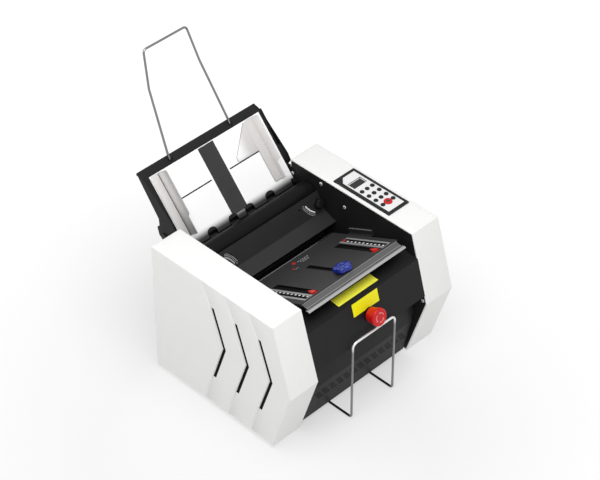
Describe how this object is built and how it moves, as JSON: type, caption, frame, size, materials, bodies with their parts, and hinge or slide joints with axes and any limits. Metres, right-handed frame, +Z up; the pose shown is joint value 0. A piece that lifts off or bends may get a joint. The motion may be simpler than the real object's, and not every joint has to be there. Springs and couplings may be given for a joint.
{
  "type": "paper folding machine",
  "caption": "Desk-top paper folding machine with a tilted feed tray, a sloping fold plate with a clamped stop, a keypad and a catch wire.",
  "frame": {"origin": "centre of the bounding box at floor level", "axes": "+Z up, -Y towards the operator, +X to the operator's right"},
  "size_m": [0.486, 0.6294, 0.6406],
  "materials": {
    "white_paint": "satin",
    "black_paint": "satin",
    "dark_grey_paint": "satin",
    "white_panel_paint": "satin",
    "zinc_steel": "brushed",
    "bright_screw": "polished",
    "chrome_wire": "polished",
    "bar_aluminium": "brushed",
    "guide_plastic": "satin",
    "black_plastic": "satin",
    "label_white": "matte",
    "display_dark": "gloss",
    "key_rubber": "matte",
    "red_plastic": "gloss",
    "red_pointer": "gloss",
    "blue_plastic": "gloss",
    "drum_black": "satin",
    "roller_rubber": "matte",
    "belt_rubber": "matte",
    "foot_rubber": "matte",
    "gear_plastic": "satin",
    "bush_bronze": "satin",
    "motor_paint": "satin",
    "board_green": "gloss"
  },
  "bodies": {
    "base": {"base_plate": "zinc_steel", "left_side_frame": "black_paint", "right_side_frame": "black_paint", "left_cover": "white_paint", "right_cover": "white_paint", "rear_panel": "dark_grey_paint", "front_panel": "black_paint", "lower_front_panel": "black_paint", "tie_bars": "zinc_steel", "rubber_feet": "foot_rubber", "frame_screws": "bright_screw", "estop_base": "black_plastic", "keypad_bezel": "black_plastic", "keypad_panel": "label_white", "display_window": "display_dark", "control_board": "board_green", "tray_pivot_pins": "black_plastic", "upper_guide_plate": "dark_grey_paint", "fold_plate": "dark_grey_paint", "fold_plate_rails": "dark_grey_paint", "fold_plate_bar": "bar_aluminium", "roller_bushes": "bush_bronze", "drive_motor": "motor_paint", "drive_belts": "belt_rubber", "paper_chute": "zinc_steel", "power_inlet": "black_plastic"},
    "tray": {"tray_frame": "dark_grey_paint", "tray_plate": "white_panel_paint", "tray_centre_strip": "dark_grey_paint", "sheet_support_wire": "chrome_wire"},
    "left_guide": {"left_side_guide": "guide_plastic"},
    "right_guide": {"right_side_guide": "guide_plastic"},
    "drum": {"feed_drum": "drum_black"},
    "feed_shaft": {"feed_roller": "roller_rubber"},
    "delivery_shaft": {"delivery_roller": "roller_rubber"},
    "upper_shaft": {"upper_fold_roller": "roller_rubber", "upper_roller_gear": "gear_plastic"},
    "main_shaft": {"main_fold_roller": "roller_rubber", "main_roller_gear": "gear_plastic"},
    "lower_shaft": {"lower_fold_roller": "roller_rubber", "lower_roller_gear": "gear_plastic"},
    "motor_shaft": {"motor_pulley": "gear_plastic"},
    "skew_control": {"skew_knob": "black_plastic"},
    "stopper": {"paper_stop": "red_pointer"},
    "stopper_knob": {"stop_knob": "blue_plastic"},
    "stop_switch": {"estop_button": "red_plastic"},
    "catcher": {"stacker_wire": "chrome_wire"},
    "mains_switch": {"power_rocker": "red_plastic"},
    "pad_key_1": {"key_1": "key_rubber"},
    "pad_key_2": {"key_2": "key_rubber"},
    "pad_key_3": {"key_3": "key_rubber"},
    "pad_key_4": {"key_4": "key_rubber"},
    "pad_key_5": {"key_5": "key_rubber"},
    "pad_key_6": {"key_6": "key_rubber"},
    "pad_key_7": {"key_7": "key_rubber"},
    "pad_key_8": {"key_8": "key_rubber"},
    "pad_key_9": {"key_9": "key_rubber"},
    "pad_key_10": {"key_10": "key_rubber"},
    "pad_key_11": {"key_11": "key_rubber"},
    "pad_stop_key": {"stop_key": "red_plastic"}
  },
  "joints": [
    {"name": "key_1_push", "type": "slide", "parent": "base", "child": "pad_key_1", "axis": [0, 0, -1], "range_m": [0, 0.001], "stiffness_N_per_m": 1000},
    {"name": "key_2_push", "type": "slide", "parent": "base", "child": "pad_key_2", "axis": [0, 0, -1], "range_m": [0, 0.001], "stiffness_N_per_m": 1000},
    {"name": "key_3_push", "type": "slide", "parent": "base", "child": "pad_key_3", "axis": [0, 0, -1], "range_m": [0, 0.001], "stiffness_N_per_m": 1000},
    {"name": "key_4_push", "type": "slide", "parent": "base", "child": "pad_key_4", "axis": [0, 0, -1], "range_m": [0, 0.001], "stiffness_N_per_m": 1000},
    {"name": "key_5_push", "type": "slide", "parent": "base", "child": "pad_key_5", "axis": [0, 0, -1], "range_m": [0, 0.001], "stiffness_N_per_m": 1000},
    {"name": "key_6_push", "type": "slide", "parent": "base", "child": "pad_key_6", "axis": [0, 0, -1], "range_m": [0, 0.001], "stiffness_N_per_m": 1000},
    {"name": "key_7_push", "type": "slide", "parent": "base", "child": "pad_key_7", "axis": [0, 0, -1], "range_m": [0, 0.001], "stiffness_N_per_m": 1000},
    {"name": "key_8_push", "type": "slide", "parent": "base", "child": "pad_key_8", "axis": [0, 0, -1], "range_m": [0, 0.001], "stiffness_N_per_m": 1000},
    {"name": "key_9_push", "type": "slide", "parent": "base", "child": "pad_key_9", "axis": [0, 0, -1], "range_m": [0, 0.001], "stiffness_N_per_m": 1000},
    {"name": "key_10_push", "type": "slide", "parent": "base", "child": "pad_key_10", "axis": [0, 0, -1], "range_m": [0, 0.001], "stiffness_N_per_m": 1000},
    {"name": "key_11_push", "type": "slide", "parent": "base", "child": "pad_key_11", "axis": [0, 0, -1], "range_m": [0, 0.001], "stiffness_N_per_m": 1000},
    {"name": "stop_key_push", "type": "slide", "parent": "base", "child": "pad_stop_key", "axis": [0, 0, -1], "range_m": [0, 0.001], "stiffness_N_per_m": 1000},
    {"name": "stop_button_push", "type": "slide", "parent": "base", "child": "stop_switch", "axis": [0, 0.9625, -0.2713], "range_m": [0, 0.004], "stiffness_N_per_m": 1500},
    {"name": "tray_tilt", "type": "hinge", "parent": "base", "child": "tray", "pos_m": [0, 0.14604, 0.2992], "axis": [1, 0, 0], "range_deg": [-10, 4]},
    {"name": "left_guide_slide", "type": "slide", "parent": "tray", "child": "left_guide", "axis": [1, 0, 0], "range_m": [-0.001, 0.08]},
    {"name": "right_guide_slide", "type": "slide", "parent": "tray", "child": "right_guide", "axis": [-1, 0, 0], "range_m": [-0.01, 0.08]},
    {"name": "skew_knob_turn", "type": "hinge", "parent": "base", "child": "skew_control", "pos_m": [0.15, 0.01343, 0.27792], "axis": [0, -0.8697, 0.4936], "range_deg": [-60, 60]},
    {"name": "paper_stop_slide", "type": "slide", "parent": "base", "child": "stopper", "axis": [0, 0.898, -0.4399], "range_m": [0, 0.105]},
    {"name": "stop_knob_turn", "type": "hinge", "parent": "stopper", "child": "stopper_knob", "pos_m": [-0.0016, -0.21129, 0.31833], "axis": [0, 0.4399, 0.898], "range_deg": [0, 360]},
    {"name": "main_roller_spin", "type": "hinge", "parent": "base", "child": "main_shaft", "pos_m": [0, 0.01093, 0.19124], "axis": [1, 0, 0], "continuous": true},
    {"name": "upper_roller_spin", "type": "hinge", "parent": "base", "child": "upper_shaft", "pos_m": [0, 0.00615, 0.21476], "axis": [1, 0, 0], "continuous": true},
    {"name": "lower_roller_spin", "type": "hinge", "parent": "base", "child": "lower_shaft", "pos_m": [0, -0.01259, 0.18646], "axis": [1, 0, 0], "continuous": true},
    {"name": "feed_roller_spin", "type": "hinge", "parent": "base", "child": "feed_shaft", "pos_m": [0, 0.08554, 0.275], "axis": [1, 0, 0], "continuous": true},
    {"name": "delivery_roller_spin", "type": "hinge", "parent": "base", "child": "delivery_shaft", "pos_m": [0, -0.13946, 0.15366], "axis": [1, 0, 0], "continuous": true},
    {"name": "motor_pulley_spin", "type": "hinge", "parent": "base", "child": "motor_shaft", "pos_m": [0, -0.05946, 0.075], "axis": [1, 0, 0], "continuous": true},
    {"name": "feed_drum_spin", "type": "hinge", "parent": "base", "child": "drum", "pos_m": [0, 0.05144, 0.2904], "axis": [1, 0, 0], "continuous": true},
    {"name": "stacker_wire_slide", "type": "slide", "parent": "base", "child": "catcher", "axis": [0, -1, 0], "range_m": [-0.002, 0.08]},
    {"name": "power_rocker_tip", "type": "hinge", "parent": "base", "child": "mains_switch", "pos_m": [0.105, 0.10154, 0.052], "axis": [1, 0, 0], "range_deg": [-18, 0]}
  ],
  "couplings": [
    {"joint": "upper_roller_spin", "follows": "main_roller_spin", "ratio": -1},
    {"joint": "lower_roller_spin", "follows": "main_roller_spin", "ratio": -1},
    {"joint": "feed_roller_spin", "follows": "main_roller_spin", "ratio": 1},
    {"joint": "delivery_roller_spin", "follows": "main_roller_spin", "ratio": 1},
    {"joint": "motor_pulley_spin", "follows": "main_roller_spin", "ratio": 1.5}
  ]
}
